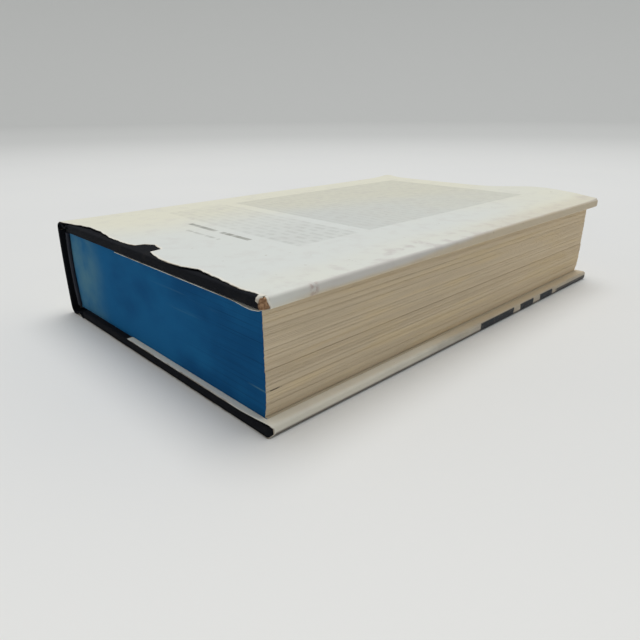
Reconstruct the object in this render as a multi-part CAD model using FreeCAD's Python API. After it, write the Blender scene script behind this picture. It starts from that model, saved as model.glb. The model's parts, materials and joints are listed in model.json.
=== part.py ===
"""Hardback book in a worn paper jacket, lying on its front cover.

X runs from the spine to the fore-edge, Y from the head to the tail and Z up.
The origin is under the middle of the closed book. All sizes are in millimetres.
"""
import FreeCAD, Part
import math
import os

# Text block: folded signatures, trimmed at head and tail, left rough at the fore-edge
TRIM_HEIGHT = 235.0
TRIM_WIDTH = 152.4          # from the crown of the rounded spine to the fore-edge
BLOCK_THICKNESS = 38.0
SIGNATURES = 16
RIDGE_DEPTH = 0.35          # groove between two signatures at the fore-edge
ROUNDING = 2.2              # bulge of the block's spine between its shoulders
SHOULDER_RISE = 1.1         # ridge that backing leaves along both edges of the spine
SHOULDER_LENGTH = 3.5

# Sheets
FLYLEAF = 0.15
PASTEDOWN = 0.15
JACKET = 0.2
CLOTH = 0.4
BOARD = 3.0
INLAY = 0.8
MULL = 0.25
LINING = 0.3

# Case
SQUARE = 3.0                # board beyond the block at head and tail
FORE_SQUARE = 3.8           # board and cloth beyond the block at the fore-edge
TURN_IN = 15.0
BOARD_EDGE_RADIUS = 0.4
BOARD_CORNER_RADIUS = 1.2
SPINE_HOLLOW = 2.4          # air between the lined block and the case at the crown
SPINE_RADIUS = 300.0
SPINE_CORNER = 4.0          # outer radius where the spine turns into the joints
SPINE_LEAN = 6.0            # the crown has sagged this far below mid-thickness
INLAY_MARGIN = 4.0          # spine card stops this far inside the outer faces
GROOVE_DEPTH = 1.8

# Cover joints: what turns with a cover stays outside this radius round its axis
JOINT_RADIUS = 8.0
JOINT_CLEARANCE = 0.2

# Bands glued over the ends of the block's spine
BAND_RADIUS = 0.8
BAND_SEAT = 0.2             # how far the bead is pressed into its tape
BAND_TAPE = 12.0
BAND_MARGIN = 0.5           # bead stops this far inside the first and last leaf

# Jacket
JACKET_MARGIN = 0.3         # jacket is this much shorter than the case at each end
FLAP_WIDTH = 98.0

# Torn head edge of the back panel: (from the crown of the spine, in from the head of the case)
TEAR_BY_SPINE = [(6.0, -1.0), (12.0, 1.0), (22.0, 2.5), (32.0, 4.0), (44.0, 3.5), (56.0, 2.2),
                 (72.0, 2.4), (76.0, 4.0), (76.0, 7.2), (80.0, 9.6), (90.0, 7.8), (88.0, 2.4),
                 (99.0, 0.8), (112.0, -1.0)]
# The same edge nearer the fore-edge: (in from the fore-edge, in from the head of the case)
TEAR_BY_FORE_EDGE = [(44.0, -1.0), (37.0, 2.3), (24.0, 1.8), (12.0, 0.5), (6.0, 1.8), (-1.0, 1.8)]
FOLD_TEAR = 2.6             # the fold of the back panel is gone this far from the head
# Corner lost from the front panel and its flap, measured in the same two directions
FRONT_CORNER_TEAR = [(6.0, -1.0), (3.2, 2.1), (1.5, 2.2), (-1.0, 1.9), (-1.0, -1.0)]

# Places across the book
spine_layers = JACKET + CLOTH + INLAY + CLOTH
overall_width = spine_layers + SPINE_HOLLOW + LINING + MULL + TRIM_WIDTH + FORE_SQUARE + JACKET
x_crown = -overall_width / 2
x_block = x_crown + spine_layers + SPINE_HOLLOW + LINING + MULL
x_hinge = x_block + ROUNDING
x_board = x_hinge + JOINT_RADIUS + JOINT_CLEARANCE
x_fore = x_block + TRIM_WIDTH
x_case = x_fore + FORE_SQUARE
x_jacket = x_case + JACKET

# Places along the book
y_block = TRIM_HEIGHT / 2
y_case = y_block + SQUARE
y_jacket = y_case - JACKET_MARGIN

# Places through the book
z_cloth = JACKET
z_board = z_cloth + CLOTH
z_turn_in = z_board + BOARD
z_cover = z_turn_in + CLOTH + PASTEDOWN + JACKET
z_block = z_cover + FLYLEAF
z_top = 2 * z_block + BLOCK_THICKNESS
z_middle = z_top / 2
z_crown = z_middle - SPINE_LEAN


def at(x, z):
    return FreeCAD.Vector(x, 0, z)


def line(start, end):
    return Part.LineSegment(start, end).toShape()


def arc(centre, radius, start, end):
    """Arc in the XZ plane between two angles in radians."""
    points = []
    for angle in (start, (start + end) / 2, end):
        points.append(centre + at(radius * math.cos(angle), radius * math.sin(angle)))
    return Part.Arc(*points).toShape()


def profile(edges):
    return Part.Face(Part.Wire(Part.__sortEdges__(edges)))


def between(section, y_start, y_end):
    """Solid of an XZ section from one place along the book to another."""
    placed = section.translated(FreeCAD.Vector(0, y_start, 0))
    return placed.extrude(FreeCAD.Vector(0, y_end - y_start, 0))


def block(x_start, x_end, y_start, y_end, z_start, z_end):
    corner = FreeCAD.Vector(x_start, y_start, z_start)
    return Part.makeBox(x_end - x_start, y_end - y_start, z_end - z_start, corner)


def plan_prism(points, z_start, z_end):
    """Prism over an outline given in plan."""
    corners = [FreeCAD.Vector(x, y, z_start) for x, y in points]
    outline = Part.makePolygon(corners + corners[:1])
    return Part.Face(outline).extrude(FreeCAD.Vector(0, 0, z_end - z_start))


def to_back(shape):
    """The back cover is the front cover mirrored through the middle of the book."""
    return shape.mirror(at(0, z_middle), at(0, 1))


# Text block and what is glued to it

spine_half = BLOCK_THICKNESS / 2 + SHOULDER_RISE
block_spine_radius = (ROUNDING ** 2 + spine_half ** 2) / (2 * ROUNDING)
block_spine_centre = at(x_block + block_spine_radius, z_middle)
block_spine_angle = math.asin(spine_half / block_spine_radius)


def shoulder():
    """Lower shoulder: leaves the flat side as a tangent and ends at the spine."""
    radius = (SHOULDER_LENGTH ** 2 + SHOULDER_RISE ** 2) / (2 * SHOULDER_RISE)
    centre = at(x_hinge + SHOULDER_LENGTH, z_block - radius)
    sweep = math.asin(SHOULDER_LENGTH / radius)
    return arc(centre, radius, math.pi / 2, math.pi / 2 + sweep)


def fore_edge_ridges():
    """One shallow bulge for each signature."""
    pitch = BLOCK_THICKNESS / SIGNATURES
    ridges = []
    for count in range(SIGNATURES):
        low = at(x_fore - RIDGE_DEPTH, z_block + count * pitch)
        crest = at(x_fore, z_block + (count + 0.5) * pitch)
        high = at(x_fore - RIDGE_DEPTH, z_block + (count + 1) * pitch)
        ridges.append(Part.Arc(low, crest, high).toShape())
    return ridges


def text_block():
    side = line(at(x_hinge + SHOULDER_LENGTH, z_block), at(x_fore - RIDGE_DEPTH, z_block))
    spine = arc(block_spine_centre, block_spine_radius,
                math.pi - block_spine_angle, math.pi + block_spine_angle)
    half = [side, shoulder()]
    edges = half + [to_back(edge) for edge in half] + fore_edge_ridges() + [spine]
    return between(profile(edges), -y_block, y_block)


def spine_sheet(inner, outer, y_start, y_end):
    """Sheet glued over the rounded spine, between two distances from the leaves."""
    start = math.pi - block_spine_angle
    end = math.pi + block_spine_angle
    near = arc(block_spine_centre, block_spine_radius + inner, start, end)
    far = arc(block_spine_centre, block_spine_radius + outer, start, end)
    ends = []
    for angle in (start, end):
        way = at(math.cos(angle), math.sin(angle))
        ends.append(line(block_spine_centre + way * (block_spine_radius + inner),
                         block_spine_centre + way * (block_spine_radius + outer)))
    return between(profile([near, far] + ends), y_start, y_end)


def mull():
    reach = y_block - BAND_TAPE
    return spine_sheet(0, MULL, -reach, reach)


def spine_lining():
    return spine_sheet(MULL, MULL + LINING, -y_block, y_block)


def head_band():
    """Bead over the leaves at the head, on a tape glued to the spine."""
    radius = block_spine_radius + BAND_SEAT - BAND_RADIUS
    angle = math.asin((BLOCK_THICKNESS / 2 - BAND_MARGIN) / block_spine_radius)
    y_bead = -y_block - BAND_RADIUS
    start = math.pi - angle
    centre = block_spine_centre + at(radius * math.cos(start), radius * math.sin(start))
    centre.y = y_bead
    along = at(-math.sin(start), math.cos(start))
    disc = Part.Face(Part.Wire(Part.makeCircle(BAND_RADIUS, centre, along)))
    bead = disc.revolve(block_spine_centre, FreeCAD.Vector(0, 1, 0), -math.degrees(2 * angle))
    tape = spine_sheet(0, MULL, y_bead, -y_block + BAND_TAPE)
    return bead.fuse(tape).removeSplitter()


def tail_band():
    return head_band().mirror(at(0, 0), FreeCAD.Vector(0, 1, 0))


def front_flyleaf():
    return block(x_hinge + SHOULDER_LENGTH, x_fore - RIDGE_DEPTH, -y_block, y_block, z_cover, z_block)


# Spine of the case and of the jacket

spine_middle = at(x_crown + SPINE_RADIUS, z_crown)


def corner_centre(z):
    """Centre of the arc that joins the back of the spine to a joint at height z."""
    across = math.sqrt((SPINE_RADIUS - SPINE_CORNER) ** 2 - (z - z_crown) ** 2)
    return at(spine_middle.x - across, z)


low_corner = corner_centre(SPINE_CORNER)
high_corner = corner_centre(z_top - SPINE_CORNER)


def spine_arcs(depth):
    """Rounded spine at a depth inside its outer face, as three tangent arcs."""
    low_way = low_corner - spine_middle
    high_way = high_corner - spine_middle
    low_angle = math.pi - math.atan2(low_way.z, -low_way.x)
    high_angle = math.pi - math.atan2(high_way.z, -high_way.x)
    radius = SPINE_CORNER - depth
    return [arc(low_corner, radius, 1.5 * math.pi, low_angle),
            arc(spine_middle, SPINE_RADIUS - depth, low_angle, high_angle),
            arc(high_corner, radius, high_angle, 0.5 * math.pi)]


def joint_reach(radius, depth):
    """How far from the axis a radius round it reaches, at a depth inside the outer face."""
    return x_hinge + math.sqrt(radius ** 2 - (z_cover - depth) ** 2)


def flat_joint(corner, depth, x_end):
    return [line(at(corner.x, depth), at(x_end, depth))]


def grooved_joint(corner, depth, x_end):
    """Joint pressed in between spine and board: three arcs at a depth inside the jacket."""
    width = x_end - corner.x
    turn = 2 * math.atan(2 * GROOVE_DEPTH / width)
    radius = width / (4 * math.sin(turn))
    inward = depth - JACKET
    x_middle = (corner.x + x_end) / 2
    down = 1.5 * math.pi
    up = 0.5 * math.pi
    return [arc(at(corner.x, JACKET + radius), radius - inward, down, down + turn),
            arc(at(x_middle, JACKET + GROOVE_DEPTH - radius), radius + inward, up - turn, up + turn),
            arc(at(x_end, JACKET + radius), radius - inward, down - turn, down)]


def spine_with_joints(outer, inner, joint):
    """Section of a sheet that covers the spine and both joints."""
    x_end = joint_reach(JOINT_RADIUS, outer)
    edges = spine_arcs(outer) + spine_arcs(inner)
    low_ends = line(at(x_end, outer), at(x_end, inner))
    edges += joint(low_corner, outer, x_end) + joint(low_corner, inner, x_end) + [low_ends]
    upper = joint(high_corner, outer, x_end) + joint(high_corner, inner, x_end) + [low_ends]
    edges += [to_back(edge) for edge in upper]
    return profile(edges)


def spine_strip(outer, inner):
    """Section of a strip inside the case spine, as wide as the spine card."""
    edges = spine_arcs(outer) + spine_arcs(inner)
    for corner, z_outer, z_inner in ((low_corner, outer, inner),
                                     (high_corner, z_top - outer, z_top - inner)):
        edges.append(line(at(corner.x, z_outer), at(corner.x, z_inner)))
    card = block(x_crown, x_hinge, -1, 1, INLAY_MARGIN, z_top - INLAY_MARGIN)
    return profile(edges).common(card).Faces[0]


def spine_inlay():
    section = spine_strip(JACKET + CLOTH, JACKET + CLOTH + INLAY)
    return between(section, CLOTH - y_case, y_case - CLOTH)


def spine_cloth():
    """Cloth over the spine card, turned in over both of its ends."""
    cloth = between(spine_with_joints(JACKET, JACKET + CLOTH, grooved_joint), -y_case, y_case)
    over_end = spine_strip(JACKET + CLOTH, spine_layers)
    inside = spine_strip(JACKET + CLOTH + INLAY, spine_layers)
    for shape in (between(over_end, -y_case, CLOTH - y_case),
                  between(inside, CLOTH - y_case, TURN_IN - y_case),
                  between(over_end, y_case - CLOTH, y_case),
                  between(inside, y_case - TURN_IN, y_case - CLOTH)):
        cloth = cloth.fuse(shape)
    return cloth.removeSplitter()


def jacket_spine():
    sheet = between(spine_with_joints(0, JACKET, flat_joint), -y_jacket, y_jacket)
    return sheet.cut(torn_head())


# Front cover, which is also the pattern of the back cover

def rounded_plate(x_start, x_end, y_half, z_start, z_end, grown):
    """Plate with soft edges and corners on every side but the spine side."""
    plate = block(x_start, x_end, -y_half, y_half, z_start, z_end)
    corners = []
    for edge in plate.Edges:
        upright = abs(edge.Vertexes[0].Z - edge.Vertexes[-1].Z) > 1e-6
        if upright and edge.CenterOfMass.x > x_end - 1e-6:
            corners.append(edge)
    plate = plate.makeFillet(BOARD_CORNER_RADIUS + grown, corners)
    rims = []
    for edge in plate.Edges:
        level = edge.BoundBox.ZLength < 1e-6
        if level and edge.CenterOfMass.x > x_start + 1e-6:
            rims.append(edge)
    return plate.makeFillet(BOARD_EDGE_RADIUS + grown, rims)


def front_board():
    return rounded_plate(x_board, x_case - CLOTH, y_case - CLOTH, z_board, z_turn_in, 0)


def turn_in_window(inset, z_start, z_end):
    """Opening that the turned-in cloth leaves on the inside of the board."""
    y_window = y_case - TURN_IN - inset
    return block(x_board, x_case - TURN_IN - inset, -y_window, y_window, z_start, z_end)


def front_cloth():
    """Cloth over the outside of the board, turned in over three of its edges."""
    x_start = joint_reach(JOINT_RADIUS + JOINT_CLEARANCE, z_board)
    z_end = z_turn_in + CLOTH
    cloth = rounded_plate(x_start, x_case, y_case, z_cloth, z_end, CLOTH)
    cloth = cloth.cut(block(x_start, x_board, -y_case, y_case, z_board, z_end))
    cloth = cloth.cut(front_board())
    return cloth.cut(turn_in_window(0, z_turn_in, z_end))


def front_pastedown():
    """Endpaper on the board: it steps up from the board onto the turn-ins."""
    z_step = z_turn_in + CLOTH
    z_end = z_step + PASTEDOWN
    sheet = block(x_board, x_fore, -y_block, y_block, z_step, z_end)
    sheet = sheet.cut(turn_in_window(0, z_step, z_end))
    step = turn_in_window(0, z_turn_in, z_end)
    step = step.cut(turn_in_window(PASTEDOWN, z_turn_in + PASTEDOWN, z_end))
    return sheet.fuse(step).removeSplitter()


def cover_wrap():
    """Jacket round one board: panel, fold at the fore-edge and flap inside."""
    outer = BOARD_EDGE_RADIUS + CLOTH + JACKET
    inner = outer - JACKET
    x_start = joint_reach(JOINT_RADIUS + JOINT_CLEARANCE, JACKET)
    x_bend = x_jacket - outer
    x_flap = x_jacket - FLAP_WIDTH
    x_inside = x_jacket - JACKET
    z_bend = z_cover - outer
    z_flap = z_cover - JACKET
    down = -0.5 * math.pi
    up = 0.5 * math.pi
    edges = [line(at(x_start, 0), at(x_bend, 0)), arc(at(x_bend, outer), outer, down, 0),
             line(at(x_jacket, outer), at(x_jacket, z_bend)), arc(at(x_bend, z_bend), outer, 0, up),
             line(at(x_bend, z_cover), at(x_flap, z_cover)), line(at(x_flap, z_cover), at(x_flap, z_flap)),
             line(at(x_flap, z_flap), at(x_bend, z_flap)), arc(at(x_bend, z_bend), inner, up, 0),
             line(at(x_inside, z_bend), at(x_inside, outer)), arc(at(x_bend, outer), inner, 0, down),
             line(at(x_bend, JACKET), at(x_start, JACKET)), line(at(x_start, JACKET), at(x_start, 0))]
    return between(profile(edges), -y_jacket, y_jacket)


def jacket_front():
    corner = [(x_jacket - fore, head - y_case) for fore, head in FRONT_CORNER_TEAR]
    return cover_wrap().cut(plan_prism(corner, -1, z_cover + 1))


def torn_head():
    """What is missing along the head edge of the back panel."""
    from_spine = [(x_crown + out, head - y_case) for out, head in TEAR_BY_SPINE]
    from_fore_edge = [(x_jacket - fore, head - y_case) for fore, head in TEAR_BY_FORE_EDGE]
    outside = [(x_jacket + 1, -y_case - 2), (x_crown, -y_case - 2)]
    return plan_prism(from_spine + from_fore_edge + outside, z_top - 2 * JACKET, z_top + 1)


def torn_fold():
    """What is missing from the fold beside the near corner of the back panel."""
    head = TEAR_BY_FORE_EDGE[-1][1] - y_case
    x_start = x_jacket - BOARD_EDGE_RADIUS - CLOTH - JACKET
    corners = [FreeCAD.Vector(x_start, -y_case - 1, z_top + 1),
               FreeCAD.Vector(x_start, head, z_top + 1),
               FreeCAD.Vector(x_start, head, z_top - JACKET),
               FreeCAD.Vector(x_start, FOLD_TEAR - y_case, z_top - z_cover + 2 * JACKET),
               FreeCAD.Vector(x_start, -y_case - 1, z_top - z_cover + 2 * JACKET)]
    outline = Part.makePolygon(corners + corners[:1])
    return Part.Face(outline).extrude(FreeCAD.Vector(x_jacket - x_start + 1, 0, 0))


def jacket_back():
    return to_back(cover_wrap()).cut(torn_head()).cut(torn_fold())


def subparts():
    return {"text_block": text_block(), "front_flyleaf": front_flyleaf(),
            "back_flyleaf": to_back(front_flyleaf()), "mull": mull(), "spine_lining": spine_lining(),
            "head_band": head_band(), "tail_band": tail_band(), "spine_inlay": spine_inlay(),
            "spine_cloth": spine_cloth(), "jacket_spine": jacket_spine(),
            "front_board": front_board(), "front_cloth": front_cloth(),
            "front_pastedown": front_pastedown(), "jacket_front": jacket_front(),
            "back_board": to_back(front_board()), "back_cloth": to_back(front_cloth()),
            "back_pastedown": to_back(front_pastedown()), "jacket_back": jacket_back()}


os.makedirs("parts", exist_ok=True)
for name, shape in subparts().items():
    shape.exportStep(f"parts/{name}.step")
    print(name, shape.isValid(), len(shape.Solids), round(shape.Volume, 1))
print("hinges at x", round(x_hinge, 3), "z", round(z_cover, 3), "and", round(z_top - z_cover, 3))
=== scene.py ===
# %% [markdown]
# A worn hardback book lies on its front cover. The frame already holds every solid of the
# book at its real size, so this lesson only dresses it: the leaves, the torn paper jacket, the
# cloth of the joints, the endpapers and the bands at the ends of the spine are modelled as
# meshes, and every surface gets a procedural finish.

# %% Load the frame
import json
import math
import bpy
import numpy as np
from mathutils import Matrix, Vector, noise

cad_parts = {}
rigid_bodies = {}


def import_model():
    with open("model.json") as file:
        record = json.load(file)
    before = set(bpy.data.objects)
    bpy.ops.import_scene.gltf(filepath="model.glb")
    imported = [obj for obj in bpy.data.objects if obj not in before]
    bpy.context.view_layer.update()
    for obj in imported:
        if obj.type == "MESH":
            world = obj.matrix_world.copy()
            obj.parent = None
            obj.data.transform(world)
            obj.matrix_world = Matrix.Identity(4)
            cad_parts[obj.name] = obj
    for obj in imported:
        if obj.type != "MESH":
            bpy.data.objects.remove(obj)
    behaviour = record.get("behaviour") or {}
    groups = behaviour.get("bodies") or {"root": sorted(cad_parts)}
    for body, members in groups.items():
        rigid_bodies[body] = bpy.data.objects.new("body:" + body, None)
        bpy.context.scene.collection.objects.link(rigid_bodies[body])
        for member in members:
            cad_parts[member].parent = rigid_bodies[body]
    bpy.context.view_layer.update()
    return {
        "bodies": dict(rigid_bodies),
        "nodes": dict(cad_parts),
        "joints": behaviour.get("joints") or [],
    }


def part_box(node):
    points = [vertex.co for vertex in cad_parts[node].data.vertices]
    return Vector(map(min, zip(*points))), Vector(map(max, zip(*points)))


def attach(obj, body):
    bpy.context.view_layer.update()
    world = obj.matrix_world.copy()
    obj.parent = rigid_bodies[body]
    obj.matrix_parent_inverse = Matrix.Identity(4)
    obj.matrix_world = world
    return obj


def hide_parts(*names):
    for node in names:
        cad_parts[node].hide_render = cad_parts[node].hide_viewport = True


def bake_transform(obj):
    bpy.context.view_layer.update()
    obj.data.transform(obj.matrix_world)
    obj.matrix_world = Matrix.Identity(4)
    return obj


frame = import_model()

print("bodies:", ", ".join(frame["bodies"]))

# %% [markdown]
# All places come from the frame. The case gives the height, the jacket the width and the
# thickness, and the two joints give the axes that the covers turn about. Lengths below are in
# metres, so a millimetre gets a name of its own.

# %% Main places of the book
MM = 0.001
case_low, case_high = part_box("back_cloth")
jacket_low, jacket_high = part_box("jacket_back")
leaves_low, leaves_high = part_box("text_block")
flyleaf_low, flyleaf_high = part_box("front_flyleaf")
pastedown_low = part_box("front_pastedown")[0]
crown_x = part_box("jacket_spine")[0].x
board_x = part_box("back_board")[0].x
case_start_x = case_low.x
fore_x = jacket_high.x
top_z = jacket_high.z
head_y = jacket_low.y
tail_y = jacket_high.y
hinges = {joint["child"]: joint for joint in frame["joints"]}
hinge_x = hinges["back_cover"]["pos_m"][0]
cover_depth = hinges["front_cover"]["pos_m"][2]
block_depth = flyleaf_high.z
print("book:", [round(size / MM, 1) for size in (fore_x - crown_x, tail_y - head_y, top_z)], "mm")


def placed(name, data):
    """A new object in the scene."""
    made = bpy.data.objects.new(name, data)
    bpy.context.scene.collection.objects.link(made)
    return made


def clamped(value):
    return min(1.0, max(0.0, value))


# %% [markdown]
# Node maths reads best as plain sums. A small class wraps one output of a node, and the
# arithmetic signs on it add Math nodes. A second class holds a node tree, and its method node()
# adds any node, with values or links for its sockets and with its settings by name. A sheet
# that is to bend with a cover stores where its points lie at rest, so its marks would stay in place.

# %% Node arithmetic
class Value:
    """One output of a node. Arithmetic on it adds Math nodes."""

    def __init__(self, tree, socket):
        self.tree = tree
        self.socket = socket

    def maths(self, operation, *values):
        return self.tree.node("ShaderNodeMath", dict(enumerate(values)), operation=operation)

    def __add__(self, other):
        return self.maths("ADD", self, other)

    def __sub__(self, other):
        return self.maths("SUBTRACT", self, other)

    def __rsub__(self, other):
        return self.maths("SUBTRACT", other, self)

    def __mul__(self, other):
        return self.maths("MULTIPLY", self, other)

    def __truediv__(self, other):
        return self.maths("DIVIDE", self, other)

    __radd__ = __add__
    __rmul__ = __mul__

    def whole(self):
        return self.maths("FLOOR", self)

    def fraction(self):
        return self.maths("FRACT", self)

    def wave(self, length):
        return self.maths("SINE", self * (2 * math.pi / length))

    def least(self, other):
        return self.maths("MINIMUM", self, other)

    def most(self, other):
        return self.maths("MAXIMUM", self, other)

    def parts(self):
        """The three parts of a place."""
        split = self.tree.node("ShaderNodeSeparateXYZ", {0: self})
        return [Value(self.tree, output) for output in split.socket.node.outputs]

    def rises(self, low, high):
        """0 below low, 1 above high and smooth between them; low may be the larger."""
        return self.tree.node("ShaderNodeMapRange", {0: self, 1: low, 2: high, 3: 0.0, 4: 1.0},
                              interpolation_type="SMOOTHSTEP")

    def inside(self, low, high, soft):
        """1 between low and high, fading to 0 over soft on both sides."""
        return self.rises(low - soft, low + soft) * self.rises(high + soft, high - soft)


class Tree:
    """A node tree that is built by node()."""

    def __init__(self, group):
        self.group = group

    def node(self, kind, sockets=None, output=0, **settings):
        made = self.group.nodes.new(kind)
        for name, value in settings.items():
            setattr(made, name, value)
        for name, value in (sockets or {}).items():
            self.feed(made.inputs[name], value)
        return Value(self, made.outputs[output])

    def feed(self, socket, value):
        if isinstance(value, Value):
            self.group.links.new(value.socket, socket)
        else:
            socket.default_value = value


# %% A material that is built node by node
class Finish(Tree):
    """A material with a Principled shader."""

    def __init__(self, name, roughness=0.6, specular=0.3, bends=False):
        self.material = bpy.data.materials.new(name)
        self.material.use_nodes = True
        super().__init__(self.material.node_tree)
        self.bends = bends
        self.set("Roughness", roughness)
        self.set("Specular IOR Level", specular)

    def set(self, name, value):
        self.feed(self.group.nodes["Principled BSDF"].inputs[name], value)

    def done(self, colour, height, distance, strength):
        """Sets the colour and a bump whose height is in units of distance, in millimetres."""
        self.set("Base Color", colour)
        self.set("Normal", self.node("ShaderNodeBump", {
            "Strength": strength, "Distance": distance * MM, "Height": height}))
        return self.material

    def place(self, stretch=(1.0, 1.0, 1.0)):
        """Place at rest in millimetres, stretched along the axes."""
        coordinates = self.node("ShaderNodeTexCoord", output="Object")
        if self.bends:
            coordinates = self.node("ShaderNodeAttribute", output="Vector", attribute_name="place")
        scale = [share / MM for share in stretch]
        return self.node("ShaderNodeVectorMath", {0: coordinates, 1: scale}, operation="MULTIPLY")

    def axes(self):
        return self.place().parts()

    def stored(self, name):
        return self.node("ShaderNodeAttribute", output="Fac", attribute_name=name)

    def clouds(self, size, detail=3.0, stretch=(1.0, 1.0, 1.0)):
        """Soft noise from 0 to 1 with patches about size millimetres wide."""
        return self.node("ShaderNodeTexNoise",
                         {"Vector": self.place(stretch), "Scale": 1.0 / size, "Detail": detail})

    def scatter(self, number):
        """A fixed random value from 0 to 1 for each whole number."""
        return self.node("ShaderNodeTexWhiteNoise", {"W": number}, noise_dimensions="1D")

    def mixed(self, share, first, second):
        colours = {0: share}
        for socket, colour in ((6, first), (7, second)):
            colours[socket] = colour if isinstance(colour, Value) else (*colour, 1.0)
        return self.node("ShaderNodeMix", colours, output=2, data_type="RGBA")


# %% [markdown]
# The leaves are bulky book paper that has toned to a warm tan at the rough fore-edge. The head
# edge was trimmed smooth and stained blue. The stain lies on the cut ends of the leaves only, so
# the material finds it by the place along the book, and lets it creep a little round the
# corner. Fine lines that follow the leaves come from noise squeezed along Z.

# %% Finish of the leaves
STAIN_REACH = 0.3          # mm that the stain creeps past the plane of the head
PAGE_CREAM = (0.71, 0.60, 0.44)
PAGE_SHADE = (0.55, 0.465, 0.335)
PAGE_AGED = (0.84, 0.70, 0.50)
PAGE_YELLOWED = (0.76, 0.62, 0.39)
# Painted shade: a dark line on the fore-edge stands for the shade in a gap between two leaves.
GAP_PAINTED_SHADE = (0.06, 0.045, 0.03)
GAP_HEIGHT = (13.7, 13.95)  # mm above the floor, where two leaves stand apart
GAP_REACH = (0.8, 6.2)      # mm from the head, along the fore-edge
SCRAPE_HEIGHT = (14.0, 14.5)  # mm above the floor, where the stain is scraped off one leaf
STAIN_DEEP = (0.006, 0.080, 0.220)
STAIN_BRIGHT = (0.011, 0.130, 0.315)
STAIN_FADED = (0.13, 0.285, 0.335)
STAIN_LINE = (0.004, 0.045, 0.13)


def stained_head(finish, paper, lines, groove):
    """Paper with the blue stain over its end at the head of the book."""
    x, y, z = finish.axes()
    creep = finish.clouds(1.2, 2.0, (1.0, 1.0, 3.0))
    stained = (y - leaves_low.y / MM + creep * STAIN_REACH).rises(STAIN_REACH + 0.15, STAIN_REACH)
    mottle = finish.clouds(34.0, 3.0, (1.0, 1.0, 1.5))
    toward_spine = x.rises(0.0, -50.0) * 0.3 - x.rises(40.0, 76.0) * 0.05
    blue = finish.mixed((mottle + toward_spine).rises(0.30, 0.70), STAIN_DEEP, STAIN_BRIGHT)
    worn = (x + 18.0 * (mottle - 0.5)).rises(-34.0, -66.0)
    worn = worn * finish.clouds(16.0, 3.0).rises(0.20, 0.75)
    blue = finish.mixed(worn * 0.75, blue, STAIN_FADED)
    near_fore_edge = x.rises(-10.0, 70.0)
    # The groove term is painted shade in the grooves between signatures; the lines are the stain's own
    # streaks.
    streaks = ((lines - 0.5) * 1.3 + groove * 0.30) * near_fore_edge + (lines - 0.5) * 0.35
    blue = finish.mixed(streaks.rises(0.06, 0.62) * 0.8, blue, STAIN_LINE)
    scuffs = finish.clouds(9.0, 3.0, (0.12, 1.0, 3.4)).rises(0.63, 0.72) * near_fore_edge
    blue = finish.mixed(scuffs * 0.35, blue, STAIN_FADED)
    scrape = z.inside(*SCRAPE_HEIGHT, 0.25) * x.rises(66.0, 73.0)
    blue = finish.mixed(scrape * 0.5, blue, STAIN_FADED)
    return finish.mixed(stained, paper, blue)


def page_paper():
    finish = Finish("page_paper", roughness=0.9, specular=0.06)
    x, y, z = finish.axes()
    groove = finish.stored("groove")
    tone = finish.stored("tone")
    lines = finish.clouds(1.0, 2.0, (0.02, 0.02, 5.0))
    drift = finish.clouds(28.0, 3.0, (1.0, 1.0, 4.0))
    # The groove term is painted shade in the grooves between signatures; lines, tone and drift are the
    # paper's own tone.
    shade = groove * 0.26 + (lines - 0.5) * 0.5 + (tone - 0.5) * 0.25 + (drift - 0.5) * 0.8
    at_tail = y.rises(leaves_high.y / MM - 0.8, leaves_high.y / MM - 0.3)
    shade = shade + (finish.clouds(1.0, 3.0, (0.01, 0.01, 1.3)) - 0.5) * 1.3 * at_tail
    cream = finish.mixed(shade.rises(-0.35, 1.05), PAGE_CREAM, PAGE_SHADE)
    cream = finish.mixed(y.rises(-60.0, 110.0) * 0.5, cream, PAGE_AGED)
    yellowed = finish.clouds(9.0, 2.0, (1.0, 0.25, 3.0)).rises(0.45, 0.75)
    cream = finish.mixed(yellowed * 0.55, cream, PAGE_YELLOWED)
    from_head = y - leaves_low.y / MM
    # Painted shade in the gap between two leaves, broken up by noise.
    gap_shade = z.inside(*GAP_HEIGHT, 0.12) * from_head.inside(*GAP_REACH, 1.2) * x.rises(70.0, 74.0)
    cream = finish.mixed(gap_shade * finish.clouds(0.8, 2.0).rises(0.3, 0.5), cream, GAP_PAINTED_SHADE)
    blue_and_cream = stained_head(finish, cream, lines, groove)
    return finish.done(blue_and_cream, lines + tone * 0.4, 0.12, 0.45)


# %% [markdown]
# Sixteen signatures of sixteen leaves each make the block. One leaf is a thin slab, and
# Geometry Nodes stack it: a line of points up the book carries the leaf's number, a leaf sits on
# each point, and one Set Position bends every leaf. It rounds the spine, flares the shoulders,
# bulges each signature at the fore-edge and shifts each leaf a little, as a rough cut does.

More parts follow.
